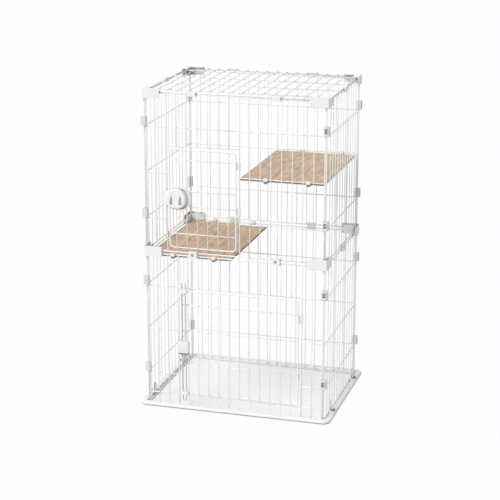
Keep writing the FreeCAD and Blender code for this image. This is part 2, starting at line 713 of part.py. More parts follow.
def top_block(side, end):
    """Outer wall, a cap over the roof panel's corner and a floor round the two edge rods."""
    cap_low = ROOF_Z + OUTER_FACE + SLIDE
    cap_top = cap_low + TOP_CAP_T
    solid = corner_band(
        side, end, wall_w, (UP_TOP - TOP_BLOCK_DOWN, cap_top), round_off=BLOCK_ROUND
    )
    solid = solid.fuse(corner_band(side, end, (-TOP_CAP_IN, wall_w[0]), (cap_low, cap_top)))
    floor_z = (UP_TOP - TOP_BLOCK_DOWN, UP_TOP - TOP_BLOCK_DOWN + TOP_SOCKET_T)
    floor = corner_band(side, end, (lip_w[0], wall_w[0]), floor_z, arm=TOP_SOCKET_ARM)
    for x in (FRONT_HALF, PLANE_X):
        foot = FreeCAD.Vector(side * x, end * PLANE_Y, floor_z[0])
        head = FreeCAD.Vector(side * x, end * PLANE_Y, floor_z[1])
        floor = floor.cut(rod(foot, head, FRAME_D + 2 * FIT))
    return solid.fuse(floor).removeSplitter()


# Clips
def edge_clip(side, end, foot):
    """A C-shaped clip round the two edge rods at a corner, with a finger pocket in one outer side."""
    bore = FRAME_R + FIT
    reach = bore + CLIP_WALL
    rods_x = sorted((side * FRONT_HALF, side * PLANE_X))
    y = end * PLANE_Y
    out_x, out_y = side * (PLANE_X + reach + CLIP_OUT), end * (PLANE_Y + reach + CLIP_OUT)
    body_x = sorted((side * (FRONT_HALF - reach), out_x))
    body_y = sorted((end * (PLANE_Y - reach), out_y))
    z = (foot, foot + CLIP_H)
    body = slab(ground, body_x, body_y, CLIP_R, z)
    slot = slab(ground, (rods_x[0] - bore, rods_x[1] + bore), around(y, bore), bore - WELD, z)
    mouth_v = sorted((y, y - end * (reach + CUT_PAST)))
    mouth = slab(ground, around(sum(rods_x) / 2, CLIP_MOUTH / 2), mouth_v, FIT, z)
    pocket_z = around(sum(z) / 2, CLIP_WINDOW_H / 2)
    if side * end < 0:
        pocket_x = around(sum(body_x) / 2, CLIP_WINDOW_W / 2)
        pocket_y = sorted((out_y + end * CUT_PAST, out_y - end * CLIP_OUT))
    else:
        pocket_x = sorted((out_x + side * CUT_PAST, out_x - side * CLIP_OUT))
        pocket_y = around(sum(body_y) / 2, CLIP_WINDOW_W / 2)
    return body.cut(slot).cut(mouth).cut(box(ground, pocket_x, pocket_y, pocket_z))


def edge_clips(side, end):
    clips = []
    for base in tiers.values():
        for height in (CROSS_LOW, CROSS_HIGH):
            clips.append(edge_clip(side, end, base + height + CROSS_R + CLIP_ABOVE))
    return clips


def tier_joint(plane, u):
    """An E-shaped clip that traps a lower panel's top rod and an upper panel's bottom rod."""
    snug = FRAME_R + FIT
    back_w, wall, face = -TIER_JOINT_ARM, snug + JOINT_WALL, snug + JOINT_FACE
    low_v, high_v = LOW_TOP, UP_BASE
    clip = bar(plane, around(u, JOINT_W / 2), [
        (back_w, low_v - wall),
        (face, low_v - wall),
        (face, high_v + wall),
        (back_w, high_v + wall),
        (back_w, high_v + snug),
        (snug, high_v + snug),
        (snug, high_v - snug),
        (back_w, high_v - snug),
        (back_w, low_v + snug),
        (snug, low_v + snug),
        (snug, low_v - snug),
        (back_w, low_v - snug),
    ])
    middle = (low_v + high_v) / 2
    return clip.cut(rod(plane(u, middle, face - DIMPLE_DEEP), plane(u, middle, face + CUT_PAST), DIMPLE_D))


def roof_joint(plane, u):
    """A C-shaped clip that traps a panel's top rod and the roof's frame rod above it."""
    snug = FRAME_R + FIT
    back_w, wall, face = -TIER_JOINT_ARM, snug + JOINT_WALL, snug + JOINT_FACE
    return bar(plane, around(u, JOINT_W / 2), [
        (back_w, UP_TOP - wall),
        (face, UP_TOP - wall),
        (face, ROOF_Z + wall),
        (back_w, ROOF_Z + wall),
        (back_w, ROOF_Z + snug),
        (snug, ROOF_Z + snug),
        (snug, UP_TOP - snug),
        (back_w, UP_TOP - snug),
    ])


def joint_clips(make):
    clips = [make(plane, gap_x(gap)) for plane in (front, back) for gap in JOINT_FRONT_GAPS]
    return clips + [make(plane, gap_y(JOINT_SIDE_GAP)) for plane in (left, right)]


def tray_hook(plane, u):
    """A plate clipped on an upright, with a strap over the tray's rim that a push peg holds."""
    low_w = OUTER_FACE + FIT
    plate_w = (low_w, low_w + TRAY_HOOK_T)
    over = RIM_H + FIT
    size_u = around(u, TRAY_HOOK_W / 2)
    plate = slab(plane, size_u, (over - TRAY_HOOK_R, TRAY_HOOK_TOP), TRAY_HOOK_R, plate_w)
    strap_end = tray_x - PLANE_X - RIM_ROUND
    solid = plate.fuse(box(plane, size_u, (over, strap_top), (low_w, strap_end)))
    foot_v = (over + TRAY_HOOK_R, TRAY_HOOK_TOP - TRAY_HOOK_R)
    foot_w = (WIRE_OUT - WIRE_R - CLIP_BACK, low_w)
    foot = box(plane, around(u, TRAY_HOOK_FOOT / 2), foot_v, foot_w)
    solid = solid.fuse(clip_upright(plane, foot, u, WIRE_OUT, WIRE_D, foot_v))
    return solid.cut(peg_rod(plane, u, PEG_D + 2 * FIT)).removeSplitter()


# Write every piece
os.makedirs("parts", exist_ok=True)

save("base_tray", [base_tray()])

wall_crosses = (CROSS_LOW, CROSS_MID, CROSS_HIGH)
for tier, tier_base in tiers.items():
    tier_top = tier_base + PANEL_H
    crosses = [tier_base + height for height in wall_crosses]
    save("back_" + tier + "_panel", plain_panel(back, FRONT_HALF, tier_base, tier_top, front_wires, crosses))
    for name, plane in (("left", left), ("right", right)):
        node = name + "_" + tier + "_panel"
        save(node, plain_panel(plane, PLANE_Y, tier_base, tier_top, side_wires, crosses))

save("front_upper_panel", door_panel(
    UP_BASE, UPPER_DOOR_WIRES, 0, UPPER_HEAD, (CROSS_LOW, CROSS_MID), (CROSS_HIGH,), (UPPER_HEAD,)
))
save("front_lower_panel", door_panel(
    LOW_BASE, LOWER_DOOR_WIRES, LOWER_SILL, CROSS_HIGH, (CROSS_LOW, CROSS_MID), (LOWER_SILL, CROSS_HIGH), ()
))

roof_step = 2 * (PLANE_Y - TOP_CROSS_EDGE) / (TOP_CROSSES - 1)
roof_crosses = [TOP_CROSS_EDGE - PLANE_Y + roof_step * number for number in range(TOP_CROSSES)]
save("roof_panel", plain_panel(roof, PLANE_X, -PLANE_Y, PLANE_Y, front_wires, roof_crosses))

upper_v = [UP_BASE + height for height in UPPER_DOOR_Z]
lower_v = [LOW_BASE + height for height in LOWER_DOOR_Z]
save("upper_door_frame", [bent_frame(door_sides(UPPER_DOOR_WIRES), upper_v)])
save("lower_door_frame", [bent_frame(door_sides(LOWER_DOOR_WIRES), lower_v)])
save("upper_door_wires", door_wires(UPPER_DOOR_WIRES, UP_BASE, UPPER_DOOR_Z, UPPER_DOOR_CROSS))
save("lower_door_wires", door_wires(LOWER_DOOR_WIRES, LOW_BASE, LOWER_DOOR_Z, LOWER_DOOR_CROSS))
upper_hinge_x = wire_x(UPPER_DOOR_WIRES[1])
lower_hinge_x = wire_x(LOWER_DOOR_WIRES[1])
save("upper_door_hinges", [hinge_sleeve(upper_hinge_x, UP_BASE + v) for v in UPPER_KNUCKLES])
save("lower_door_hinges", [hinge_sleeve(lower_hinge_x, LOW_BASE + v) for v in LOWER_KNUCKLES])

collars = [hinge_collar(upper_hinge_x, UP_BASE + v) for v in UPPER_KNUCKLES]
collars += [hinge_collar(lower_hinge_x, LOW_BASE + v) for v in LOWER_KNUCKLES]
save("hinge_collars", collars)

save("latch_keeper", [latch_keeper()])
save("latch_body", [latch_body()])
save("latch_slider", [latch_slider()])
save("bolt_hairpin", [bolt_hairpin()])
save("bolt_guides", [bolt_guide(height) for height in LOWER_DOOR_Z])
save("bolt_handle", [bolt_handle()])

save("lower_shelf", [shelf_board((-board_x, -board_x + SHELF_W), lower_board_top)])
save("upper_shelf", [shelf_board((board_x - SHELF_W, board_x), upper_board_top)])
save("lower_shelf_hooks", shelf_hooks(LOWER_HOOK_GAPS, LOW_TOP, 0, FRAME_R))
save("upper_shelf_hooks", shelf_hooks(UPPER_HOOK_GAPS, UP_BASE + CROSS_MID, CROSS_OUT, CROSS_R))

for end_name, end in (("front", -1), ("back", 1)):
    for side_name, side in (("left", -1), ("right", 1)):
        corner = end_name + "_" + side_name
        save("top_block_" + corner, [top_block(side, end)])
        save("tier_block_" + corner, [tier_block(side, end)])
        save("edge_clips_" + corner, edge_clips(side, end))

save("tier_joint_clips", joint_clips(tier_joint))
save("roof_joint_clips", joint_clips(roof_joint))
hook_places = [(plane, wire_y(place)) for plane in (left, right) for place in TRAY_HOOK_WIRES]
save("tray_hooks", [tray_hook(plane, u) for plane, u in hook_places])
save("tray_pegs", [push_peg(plane, u) for plane, u in hook_places])

print("tray", 2 * tray_x, 2 * tray_y, "roof wires top", ROOF_Z + OUTER_FACE)
print("hinge axes at x", upper_hinge_x, lower_hinge_x, "y", -PLANE_Y, "swing", DOOR_OPENS)
print("latch slides", LATCH_TRAVEL, "bolt lifts", BOLT_LIFT)
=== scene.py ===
# %% [markdown]
# # A two-tier wire cat cage
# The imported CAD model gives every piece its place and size. This lesson dresses it for a studio picture:
# round coated wires with their weld beads, moulded white plastic with soft edges, a satin tray and wooden
# shelves.

# %% Load the frame
import json
import math

import bmesh
import bpy
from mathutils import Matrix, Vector


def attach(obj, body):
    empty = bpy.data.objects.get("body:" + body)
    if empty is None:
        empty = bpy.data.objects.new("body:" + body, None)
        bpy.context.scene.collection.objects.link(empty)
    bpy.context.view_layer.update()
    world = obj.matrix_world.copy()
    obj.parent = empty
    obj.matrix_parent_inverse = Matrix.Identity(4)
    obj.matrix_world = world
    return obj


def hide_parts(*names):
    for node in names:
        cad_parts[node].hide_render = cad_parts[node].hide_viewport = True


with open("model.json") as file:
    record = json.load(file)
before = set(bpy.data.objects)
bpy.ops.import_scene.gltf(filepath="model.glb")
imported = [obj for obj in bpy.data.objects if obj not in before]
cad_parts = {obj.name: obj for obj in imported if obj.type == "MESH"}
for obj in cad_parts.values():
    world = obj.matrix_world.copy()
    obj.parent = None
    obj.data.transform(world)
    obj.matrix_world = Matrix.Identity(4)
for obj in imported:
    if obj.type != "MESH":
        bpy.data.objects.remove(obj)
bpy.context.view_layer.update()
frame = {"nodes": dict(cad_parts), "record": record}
MM = 0.001

# %% [markdown]
# ## A helper for finishes
# Every finish here is one Principled shader whose colour, roughness and bump come from noise on Object
# coordinates. The pieces sit at the origin, so an Object coordinate is a place on the cage in metres, and
# one pattern runs on without a break from piece to piece. A helper keeps the wiring in one place.


# %% Finish helper
RING_DETAIL = 3.0
BUMP_STRENGTH = 0.6
HOLLOW_SAMPLES = 8
HOLLOW_DEEP, HOLLOW_OPEN = 0.2, 0.8


def new_finish(name, roughness, specular=0.5):
    """A material with a Principled shader; returns it with its nodes, links and Object coordinates."""
    material = bpy.data.materials.new(name)
    material.use_nodes = True
    nodes, links = material.node_tree.nodes, material.node_tree.links
    shader = nodes["Principled BSDF"]
    shader.inputs["Roughness"].default_value = roughness
    shader.inputs["Specular IOR Level"].default_value = specular
    place = nodes.new("ShaderNodeTexCoord").outputs["Object"]
    return material, nodes, links, shader, place


def noise(nodes, links, place, scale, detail, stretch=None):
    """Noise at a scale per metre, stretched along the axes if stretch is given."""
    if stretch is not None:
        mapping = nodes.new("ShaderNodeMapping")
        mapping.inputs["Scale"].default_value = stretch
        links.new(place, mapping.inputs["Vector"])
        place = mapping.outputs["Vector"]
    texture = nodes.new("ShaderNodeTexNoise")
    texture.inputs["Scale"].default_value = scale
    texture.inputs["Detail"].default_value = detail
    links.new(place, texture.inputs["Vector"])
    return texture.outputs["Fac"]


def growth_rings(nodes, links, place, scale, waver, stretch):
    """Wavering bands across X at a scale per metre, drawn out along the axes by stretch."""
    mapping = nodes.new("ShaderNodeMapping")
    mapping.inputs["Scale"].default_value = stretch
    links.new(place, mapping.inputs["Vector"])
    texture = nodes.new("ShaderNodeTexWave")
    texture.inputs["Scale"].default_value = scale
    texture.inputs["Distortion"].default_value = waver
    texture.inputs["Detail"].default_value = RING_DETAIL
    links.new(mapping.outputs["Vector"], texture.inputs["Vector"])
    return texture.outputs["Fac"]


def blend(nodes, links, one, two, share):
    """A mix of two patterns, where share is the part of the second."""
    node = nodes.new("ShaderNodeMix")
    node.inputs["Factor"].default_value = share
    links.new(one, node.inputs["A"])
    links.new(two, node.inputs["B"])
    return node.outputs["Result"]


def ramp(nodes, links, value, low, high, start=0.3, end=0.7):
    """Turns a value into a colour between two colours."""
    node = nodes.new("ShaderNodeValToRGB")
    stops = node.color_ramp.elements
    stops[0].position, stops[1].position = start, end
    stops[0].color, stops[1].color = (*low, 1), (*high, 1)
    links.new(value, node.inputs["Fac"])
    return node.outputs["Color"]


def spread(nodes, links, value, low, high):
    """Turns a value from 0 to 1 into a number between two limits."""
    node = nodes.new("ShaderNodeMapRange")
    node.inputs["To Min"].default_value = low
    node.inputs["To Max"].default_value = high
    links.new(value, node.inputs["Value"])
    return node.outputs["Result"]


def bump(nodes, links, shader, height, depth):
    """Raises the surface by a height pattern, depth in metres."""
    node = nodes.new("ShaderNodeBump")
    node.inputs["Strength"].default_value = BUMP_STRENGTH
    node.inputs["Distance"].default_value = depth
    links.new(height, node.inputs["Height"])
    links.new(node.outputs["Normal"], shader.inputs["Normal"])


def paint_corner_shade(nodes, links, colour, reach, dark):
    """Paints shade into a colour in corners and slots that are narrower than reach, down to dark in the
    deepest.
    """
    hollow = nodes.new("ShaderNodeAmbientOcclusion")
    hollow.samples = HOLLOW_SAMPLES
    hollow.inputs["Distance"].default_value = reach
    dim, full = (dark, dark, dark), (1, 1, 1)
    share = ramp(nodes, links, hollow.outputs["AO"], dim, full, HOLLOW_DEEP, HOLLOW_OPEN)
    mix = nodes.new("ShaderNodeMix")
    mix.data_type = "RGBA"
    mix.blend_type = "MULTIPLY"
    mix.inputs["Factor"].default_value = 1.0
    links.new(colour, mix.inputs["A"])
    links.new(share, mix.inputs["B"])
    return mix.outputs["Result"]


print("finish helpers ready")

# %% [markdown]
# ## White coating on the wire
# The wire is steel with a baked white coating. It is smooth and half glossy, with the faint orange peel
# that a baked coating has, and it is a little thinner and greyer in places. Two noises do it: a slow one
# for the colour and the gloss, a fine one for the peel. Shade is painted into the colour where wires meet.

# %% Coated wire
WIRE_WHITE, WIRE_GREY = (0.855, 0.855, 0.85), (0.79, 0.79, 0.79)
BOLT_LIGHT, BOLT_GREY = (0.52, 0.52, 0.53), (0.46, 0.46, 0.47)
WIRE_ROUGHNESS = 0.35
WIRE_GLOSS = (0.28, 0.42)
PATCH_SCALE, PATCH_DETAIL = 18.0, 4.0
PATCH_START, PATCH_END = 0.25, 0.5
WIRE_CORNER_REACH, WIRE_CORNER_SHADE = 5 * MM, 0.65
PEEL_SCALE, PEEL_DETAIL, PEEL_DEPTH = 900.0, 2.0, 0.08 * MM


def coated_wire(name, light, grey):
    """A baked coating in two close tones, with painted shade where wires meet."""
    material, nodes, links, shader, place = new_finish(name, WIRE_ROUGHNESS)
    patches = noise(nodes, links, place, PATCH_SCALE, PATCH_DETAIL)
    coat = ramp(nodes, links, patches, grey, light, PATCH_START, PATCH_END)
    coat_with_painted_shade = paint_corner_shade(nodes, links, coat, WIRE_CORNER_REACH, WIRE_CORNER_SHADE)
    links.new(coat_with_painted_shade, shader.inputs["Base Color"])
    links.new(spread(nodes, links, patches, *WIRE_GLOSS), shader.inputs["Roughness"])
    bump(nodes, links, shader, noise(nodes, links, place, PEEL_SCALE, PEEL_DETAIL), PEEL_DEPTH)
    return material


wire_finish = coated_wire("coated_wire", WIRE_WHITE, WIRE_GREY)
bolt_finish = coated_wire("bolt_wire", BOLT_LIGHT, BOLT_GREY)
print("made", wire_finish.name, bolt_finish.name)

# %% [markdown]
# ## Moulded plastic
# Corner blocks, clips, hooks and the latch are injection moulded. The mould leaves a fine even grain and
# a satin gloss. The tray is one large thin moulding with a coarser grain, so the same function makes it
# too. Each finish also paints shade into narrow slots and corners, where light gets lost, and says how
# dark that painted shade gets.

# %% Plastics
RESIN_SHADE = 0.97
FINE_GRAIN = (2400.0, 0.04 * MM)
RIM_GRAIN = (1600.0, 0.05 * MM)
PAN_GRAIN = (700.0, 0.03 * MM)
GRAIN_DETAIL = 2.0
RESIN_SPECULAR = 0.45
CLOUD_SCALE, CLOUD_DETAIL = 9.0, 5.0
CLOUD_START, CLOUD_END = 0.3, 0.55
CORNER_REACH = 12 * MM
GLOSS_SWING = 0.06
SATIN, DULL, SMOOTH = 0.42, 0.5, 0.3
RESIN_WHITE = (0.83, 0.83, 0.825)
CLIP_WHITE = (0.70, 0.70, 0.70)
PAINTED_SHADE_GREY = (0.30, 0.30, 0.305)
PEG_GREY = (0.20, 0.20, 0.205)
RIM_WHITE = (0.84, 0.835, 0.84)
PAN_PAINTED_LIGHTER = (0.965, 0.96, 0.975)


def moulded_plastic(name, light, corner=0.42, roughness=SATIN, grain=FINE_GRAIN):
    """A resin in two close tones; corner is how dark the painted shade in its corners gets, grain a scale
    and a depth.
    """
    material, nodes, links, shader, place = new_finish(name, roughness, RESIN_SPECULAR)
    clouds = noise(nodes, links, place, CLOUD_SCALE, CLOUD_DETAIL)
    shade = [RESIN_SHADE * value for value in light]
    resin = ramp(nodes, links, clouds, shade, light, CLOUD_START, CLOUD_END)
    links.new(paint_corner_shade(nodes, links, resin, CORNER_REACH, corner), shader.inputs["Base Color"])
    gloss = spread(nodes, links, clouds, roughness - GLOSS_SWING, roughness + GLOSS_SWING)
    links.new(gloss, shader.inputs["Roughness"])
    scale, depth = grain
    bump(nodes, links, shader, noise(nodes, links, place, scale, GRAIN_DETAIL), depth)
    return material


# In each finish, corner is how dark the painted shade in its corners gets.
block_finish = moulded_plastic("block_plastic", RESIN_WHITE)
latch_finish = moulded_plastic("latch_plastic", RESIN_WHITE, corner=0.62)
# The clips are greyer than the blocks and take the deepest painted shade in their corners.
clip_finish = moulded_plastic("clip_plastic", CLIP_WHITE, corner=0.10)
# Painted shade: the dark grey second finish for faces under a hook's hood and in the handle's notch.
painted_shade_finish = moulded_plastic("painted_shade_plastic", PAINTED_SHADE_GREY, roughness=DULL)
peg_finish = moulded_plastic("peg_plastic", PEG_GREY)
# The rim's outside takes deep painted shade in its corners, darkest in the groove at its foot.
rim_finish = moulded_plastic("tray_rim", RIM_WHITE, corner=0.10, roughness=DULL, grain=RIM_GRAIN)
rim_top_finish = moulded_plastic("tray_rim_top", RIM_WHITE, corner=0.7, roughness=DULL, grain=RIM_GRAIN)
# The pan and the inner wall are painted lighter than the rim, standing in for light that the shelves and
# wires keep off them.
pan_finish = moulded_plastic("tray_pan", PAN_PAINTED_LIGHTER, corner=0.6, roughness=SMOOTH, grain=PAN_GRAIN)
wall_finish = moulded_plastic("tray_wall", PAN_PAINTED_LIGHTER, corner=1.0, roughness=SMOOTH, grain=PAN_GRAIN)
print("made", block_finish.name, latch_finish.name, clip_finish.name, peg_finish.name, rim_finish.name)

# %% [markdown]
# ## Wood of the shelves
# The shelves are pale boards with a lively figure: broad soft clouds, wavering growth rings and fine
# fibre. The front and back edges are a middle brown, and the two sides are very dark brown. Stretching a
# pattern along the board gives streaks, because what changes slowly along the grain and quickly across
# it looks like fibre.

# %% Shelf wood
BOARD_LIGHT = (0.64, 0.475, 0.33)
BOARD_DARK = (0.37, 0.245, 0.155)
FRONT_LIGHT = (0.36, 0.26, 0.20)
FRONT_DARK = (0.20, 0.13, 0.09)
SIDE_LIGHT = (0.045, 0.025, 0.012)
SIDE_DARK = (0.02, 0.011, 0.005)
BOARD_CLOUDS = {"scale": 13.0, "detail": 6.0, "stretch": (4.0, 1.5, 4.0)}
BOARD_RINGS = {"scale": 14.0, "waver": 9.0, "stretch": (1.0, 0.14, 1.0)}
BOARD_FIBRE = {"scale": 60.0, "detail": 4.0, "stretch": (6.0, 0.3, 6.0)}
EDGE_STREAKS = {"scale": 40.0, "detail": 4.0, "stretch": (1.0, 1.0, 12.0)}
RING_SHARE, FIBRE_SHARE = 0.1, 0.36
FIGURE_START, FIGURE_END = 0.34, 0.6
BOARD_GLOSS = (0.42, 0.62)
FIBRE_DEPTH, STREAK_DEPTH = 0.12 * MM, 0.1 * MM
FACE_ROUGHNESS, FACE_SPECULAR = 0.5, 0.35
EDGE_ROUGHNESS, EDGE_SPECULAR = 0.6, 0.3


def board_face():
    """The board's broad face: clouds, rings and fibre in one figure."""
    material, nodes, links, shader, place = new_finish("shelf_board_face", FACE_ROUGHNESS, FACE_SPECULAR)
    clouds = noise(nodes, links, place, **BOARD_CLOUDS)
    rings = growth_rings(nodes, links, place, **BOARD_RINGS)
    fibre = noise(nodes, links, place, **BOARD_FIBRE)
    figure = blend(nodes, links, blend(nodes, links, clouds, rings, RING_SHARE), fibre, FIBRE_SHARE)
    wood = ramp(nodes, links, figure, BOARD_DARK, BOARD_LIGHT, FIGURE_START, FIGURE_END)
    links.new(wood, shader.inputs["Base Color"])
    links.new(spread(nodes, links, fibre, *BOARD_GLOSS), shader.inputs["Roughness"])
    bump(nodes, links, shader, fibre, FIBRE_DEPTH)
    return material


def board_edge(name, dark, light):
    """An edge of the board, streaked between two tones."""
    material, nodes, links, shader, place = new_finish(name, EDGE_ROUGHNESS, EDGE_SPECULAR)
    streaks = noise(nodes, links, place, **EDGE_STREAKS)
    links.new(ramp(nodes, links, streaks, dark, light), shader.inputs["Base Color"])
    bump(nodes, links, shader, streaks, STREAK_DEPTH)
    return material


face_finish = board_face()
front_finish = board_edge("shelf_board_front", FRONT_DARK, FRONT_LIGHT)
side_finish = board_edge("shelf_board_side", SIDE_DARK, SIDE_LIGHT)
print("made", face_finish.name, front_finish.name, side_finish.name)

# %% [markdown]
# ## Reading the wires from the frame
# A CAD panel is one node that holds many straight rods. Each rod is an island of its mesh, and as every
# rod lies along X, Y or Z, the island's box gives its axis, its ends and its radius. Nothing has to be
# typed in again.


# %% Rods of a panel
ROD_MERGE = 0.001 * MM


def islands(node):
    """The lowest and highest corner of every separate solid in a CAD node."""
    mesh = bmesh.new()
    mesh.from_mesh(frame["nodes"][node].data)
    bmesh.ops.remove_doubles(mesh, verts=mesh.verts, dist=ROD_MERGE)
    mesh.verts.ensure_lookup_table()
    seen, boxes = set(), []
    for vert in mesh.verts:
        if vert in seen:
            continue
        seen.add(vert)
        queue, group = [vert], []
        while queue:
            here = queue.pop()
            group.append(here.co)
            for edge in here.link_edges:
                other = edge.other_vert(here)
                if other not in seen:
                    seen.add(other)
                    queue.append(other)
        low = Vector(min(co[axis] for co in group) for axis in range(3))
        high = Vector(max(co[axis] for co in group) for axis in range(3))
        boxes.append((low, high))
    mesh.free()
    return boxes


def rods(node):
    """Axis, ends and radius of every straight rod in a CAD node."""
    found = []
    for low, high in islands(node):
        size = high - low
        axis = max(range(3), key=lambda i: size[i])
        radius = min(size) / 2
        middle = (low + high) / 2
        start, end = middle.copy(), middle.copy()
        start[axis], end[axis] = low[axis], high[axis]
        found.append({"axis": axis, "start": start, "end": end, "radius": radius})
    return found


panels = [name for name in frame["nodes"] if name.endswith("_panel")]
print("panels", len(panels), "rods", sum(len(rods(name)) for name in panels))

# %% [markdown]
# ## Weld beads
# Where two rods cross or butt, the welder leaves a small swelling that the coating rounds off further. A
# bead is placed where the axes of two rods come within their two radii of each other. It is found from
# the rods themselves, so it always sits in the crevice between them.


# %% Places of the beads
BEAD_SLACK = 0.3 * MM
CROSS_BEAD = 0.95
BUTT_BEAD = 1.22


def clamp(value, low, high):
    return max(low, min(high, value))


def weld_beads(group):
    """Place and radius of a bead for every pair of rods in the group that touch."""
    beads = []
    for number, one in enumerate(group):
        for two in group[number + 1:]:
            if one["axis"] == two["axis"]:
                continue
            on_one, on_two = one["start"].copy(), two["start"].copy()
            a, b = one["axis"], two["axis"]
            on_one[a] = clamp(on_two[a], one["start"][a], one["end"][a])
            on_two[b] = clamp(on_one[b], two["start"][b], two["end"][b])
            gap = (on_two - on_one).length
            if gap > one["radius"] + two["radius"] + BEAD_SLACK:
                continue
            thin, thick = sorted((one["radius"], two["radius"]))
            third = 3 - a - b
            crossing = abs(on_two[third] - on_one[third]) > thick
            share = one["radius"] / (one["radius"] + two["radius"])
            place = on_one + (on_two - on_one) * share
            beads.append((place, thin * (CROSS_BEAD if crossing else BUTT_BEAD)))
    return beads


print("beads on the roof panel", len(weld_beads(rods("roof_panel"))))

# %% [markdown]
# ## A node tree for welded wire
# Wires repeat hundreds of times and each follows a line, which is what Geometry Nodes are for. The tree
# takes a mesh of bare edges. Edges become curves and then round tubes, with the thickness read from an
# attribute, so the ends can be rounded off. Loose points become small spheres, the weld beads.


# %% Wire tree
def input_socket(tree, name, kind):
    """Adds an input to a node tree and returns the key by which a modifier sets it."""
    return tree.interface.new_socket(name, in_out="INPUT", socket_type=kind).identifier


def welded_wire_tree():
    """The node tree, with the keys of its inputs."""
    tree = bpy.data.node_groups.new("welded_wire", "GeometryNodeTree")
    names = {"geometry": input_socket(tree, "Lines and points", "NodeSocketGeometry")}
    names["sides"] = input_socket(tree, "Sides", "NodeSocketInt")
    names["rounds"] = input_socket(tree, "Bead rounds", "NodeSocketInt")
    names["finish"] = input_socket(tree, "Finish", "NodeSocketMaterial")
    tree.interface.new_socket("Wire", in_out="OUTPUT", socket_type="NodeSocketGeometry")

    def add(kind, **values):
        node = tree.nodes.new(kind)
        for key, value in values.items():
            setattr(node, key, value)
        return node

    given, result = add("NodeGroupInput"), add("NodeGroupOutput")
    thickness, bead = add("GeometryNodeInputNamedAttribute"), add("GeometryNodeInputNamedAttribute")
    thickness.inputs["Name"].default_value = "thickness"
    bead.inputs["Name"].default_value = "bead"
    curve, circle = add("GeometryNodeMeshToCurve"), add("GeometryNodeCurvePrimitiveCircle")
    circle.inputs["Radius"].default_value = 1.0
    tube = add("GeometryNodeCurveToMesh")
    tube.inputs["Fill Caps"].default_value = True
    is_bead = add("FunctionNodeCompare", data_type="FLOAT", operation="GREATER_THAN")
    points, ball = add("GeometryNodeMeshToPoints"), add("GeometryNodeMeshIcoSphere")
    ball.inputs["Radius"].default_value = 1.0
    balls, real = add("GeometryNodeInstanceOnPoints"), add("GeometryNodeRealizeInstances")
    join, smooth = add("GeometryNodeJoinGeometry"), add("GeometryNodeSetShadeSmooth")
    coat = add("GeometryNodeSetMaterial")

    link = tree.links.new
    link(given.outputs["Lines and points"], curve.inputs["Mesh"])
    link(given.outputs["Sides"], circle.inputs["Resolution"])
    link(curve.outputs["Curve"], tube.inputs["Curve"])
    link(circle.outputs["Curve"], tube.inputs["Profile Curve"])
    link(thickness.outputs["Attribute"], tube.inputs["Scale"])
    link(bead.outputs["Attribute"], is_bead.inputs[0])
    link(given.outputs["Lines and points"], points.inputs["Mesh"])
    link(is_bead.outputs["Result"], points.inputs["Selection"])
    link(given.outputs["Bead rounds"], ball.inputs["Subdivisions"])
    link(points.outputs["Points"], balls.inputs["Points"])
    link(ball.outputs["Mesh"], balls.inputs["Instance"])
    link(bead.outputs["Attribute"], balls.inputs["Scale"])
    link(balls.outputs["Instances"], join.inputs["Geometry"])
    link(tube.outputs["Mesh"], join.inputs["Geometry"])
    link(join.outputs["Geometry"], real.inputs["Geometry"])
    link(real.outputs["Geometry"], smooth.inputs["Geometry"])
    link(smooth.outputs["Geometry"], coat.inputs["Geometry"])
    link(given.outputs["Finish"], coat.inputs["Material"])
    link(coat.outputs["Geometry"], result.inputs["Wire"])
    return tree, names


wire_tree, wire_inputs = welded_wire_tree()
print("wire tree nodes", len(wire_tree.nodes))

# %% [markdown]
# ## Building a panel of wire
# The tree needs its lines as a mesh: four points to a rod, so that the first and last stretch can taper
# into a rounded end, and one loose point to a bead. After the tree has run, the result is copied into a
# plain mesh, because the export wants meshes and not modifiers.

# %% Wire pieces
TIP_LENGTH = 0.35
TIP_SHARE = 0.62
WIRE_SIDES = 14
BEAD_ROUNDS = 2
SMOOTH_ANGLE = math.radians(50)


def keep(piece, body, nodes):
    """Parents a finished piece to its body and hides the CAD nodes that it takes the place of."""
    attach(piece, body)
    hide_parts(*nodes)


def body_of(node):
    """The body that a CAD node belongs to."""
    bodies = frame["record"]["behaviour"]["bodies"]
    return next(name for name, members in bodies.items() if node in members)


def line_mesh(name, group, beads):
    """Edges for the rods and loose points for the beads, with their sizes as attributes."""
    points, edges, thickness, bead = [], [], [], []
    for rod in group:
        run = (rod["end"] - rod["start"]).normalized() * rod["radius"] * TIP_LENGTH
        first = len(points)
        points += [rod["start"], rod["start"] + run, rod["end"] - run, rod["end"]]
        edges += [(first + i, first + i + 1) for i in range(3)]
        tip = rod["radius"] * TIP_SHARE
        thickness += [tip, rod["radius"], rod["radius"], tip]
        bead += [0.0] * 4
    for place, radius in beads:
        points.append(place)
        thickness.append(0.0)
        bead.append(radius)
    mesh = bpy.data.meshes.new(name)
    mesh.from_pydata(points, edges, [])
    for key, values in (("thickness", thickness), ("bead", bead)):
        mesh.attributes.new(key, "FLOAT", "POINT").data.foreach_set("value", values)
    return mesh


def plain_copy(source, name):
    """The evaluated object as a plain mesh on a new object; the source is removed."""
    evaluated = source.evaluated_get(bpy.context.evaluated_depsgraph_get())
    mesh = bpy.data.meshes.new_from_object(evaluated)
    mesh.name = name
    bpy.data.objects.remove(source)
    piece = bpy.data.objects.new(name, mesh)
    bpy.context.scene.collection.objects.link(piece)
    return piece


